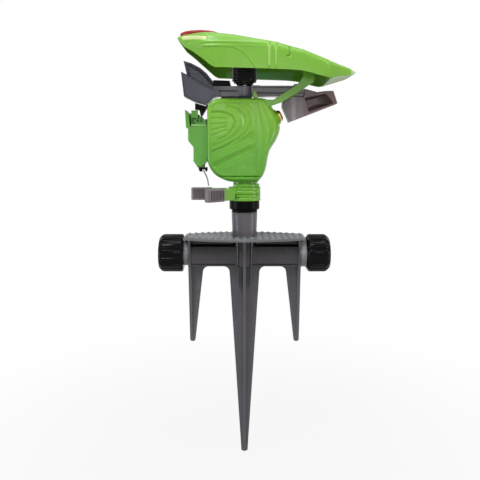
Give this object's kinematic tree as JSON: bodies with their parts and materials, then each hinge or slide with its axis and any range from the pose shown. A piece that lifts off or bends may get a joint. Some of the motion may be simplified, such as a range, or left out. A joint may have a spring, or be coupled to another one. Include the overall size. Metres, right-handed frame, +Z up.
{
  "type": "garden sprinkler",
  "caption": "Garden impact sprinkler: hooded turning head with striking arm, trip collars and hose coupling on a pronged step spike.",
  "frame": {"origin": "centre of the flat tip of the long middle spike", "axes": "+Z up the stem that the head turns about, +X along the water tube from the hose nut to the end cap, -Y the side that the trip collars' grips face"},
  "size_m": [0.185, 0.0753, 0.3971],
  "materials": {
    "grey_moulding": "satin, fine grain",
    "arm_grey_moulding": "satin",
    "green_moulding": "half gloss",
    "black_moulding": "half gloss",
    "black_spring": "black coated wire",
    "black_rubber": "matt",
    "red_moulding": "half gloss",
    "white_nylon": "matt",
    "brass": "turned",
    "steel": "bright"
  },
  "bodies": {
    "base": {"spike_base": "grey_moulding", "step_plate": "grey_moulding", "bearing_nut": "black_moulding", "hose_washer": "black_rubber"},
    "inlet_nut": {"hose_swivel_nut": "black_moulding"},
    "cap_seal": {"end_cap_washer": "black_rubber"},
    "cap": {"end_cap": "black_moulding"},
    "upper_collar": {"upper_trip_collar": "green_moulding", "upper_collar_tab": "grey_moulding"},
    "lower_collar": {"lower_trip_collar": "green_moulding", "lower_collar_tab": "grey_moulding"},
    "head": {"stem_tube": "brass", "thrust_washer": "white_nylon", "body": "green_moulding", "front_cover": "green_moulding", "rear_cover": "green_moulding", "nozzle": "brass", "bridge": "green_moulding", "pivot_pin": "steel", "arm_washer": "black_moulding", "arm_spring": "black_spring", "hood": "green_moulding", "hood_insert": "red_moulding", "trip_housing": "green_moulding", "trip_pin": "steel", "trip_spring": "steel", "cover_screw_1": "steel", "cover_screw_2": "steel", "cover_screw_3": "steel", "bridge_screw": "steel", "rear_hood_screw": "steel", "front_hood_screw": "steel"},
    "arm": {"impact_arm": "arm_grey_moulding", "spoon": "arm_grey_moulding", "arm_bumper": "black_rubber", "spoon_screw": "steel"},
    "lever": {"trip_lever": "green_moulding", "reversing_pawl": "black_moulding", "wire_clip": "black_moulding", "wire_pin": "steel"},
    "wire": {"trip_wire": "steel"}
  },
  "joints": [
    {"name": "head_turn", "type": "hinge", "parent": "base", "child": "head", "pos_m": [0, 0, 0.2498], "axis": [0, 0, 1], "continuous": true},
    {"name": "arm_swing", "type": "hinge", "parent": "head", "child": "arm", "pos_m": [0, 0, 0.3349], "axis": [0, 0, 1], "range_deg": [0, 34], "stiffness_Nm_per_rad": 0.05, "springref_deg": -17.19, "deforming": ["arm_spring"]},
    {"name": "trip_flip", "type": "hinge", "parent": "head", "child": "lever", "pos_m": [-0.0475, 0, 0.285], "axis": [1, 0, 0], "range_deg": [-9, 9], "deforming": ["trip_spring"]},
    {"name": "wire_lift", "type": "hinge", "parent": "lever", "child": "wire", "pos_m": [-0.0392, 0, 0.2655], "axis": [0, 1, 0], "range_deg": [0, 90]},
    {"name": "upper_collar_turn", "type": "hinge", "parent": "base", "child": "upper_collar", "pos_m": [0, 0, 0.2433], "axis": [0, 0, 1], "range_deg": [0, 140]},
    {"name": "lower_collar_turn", "type": "hinge", "parent": "base", "child": "lower_collar", "pos_m": [0, 0, 0.2368], "axis": [0, 0, 1], "range_deg": [-140, 0]},
    {"name": "inlet_nut_spin", "type": "hinge", "parent": "base", "child": "inlet_nut", "pos_m": [-0.054, 0, 0.187], "axis": [1, 0, 0], "continuous": true},
    {"name": "cap_unscrew", "type": "hinge", "parent": "base", "child": "cap_seal", "pos_m": [0.054, 0, 0.187], "axis": [1, 0, 0], "range_deg": [0, 1620]},
    {"name": "cap_travel", "type": "slide", "parent": "cap_seal", "child": "cap", "axis": [1, 0, 0], "range_m": [0, 0.0099]}
  ],
  "couplings": [
    {"joint": "cap_travel", "follows": "cap_unscrew", "m_per_rad": 0.00035}
  ]
}
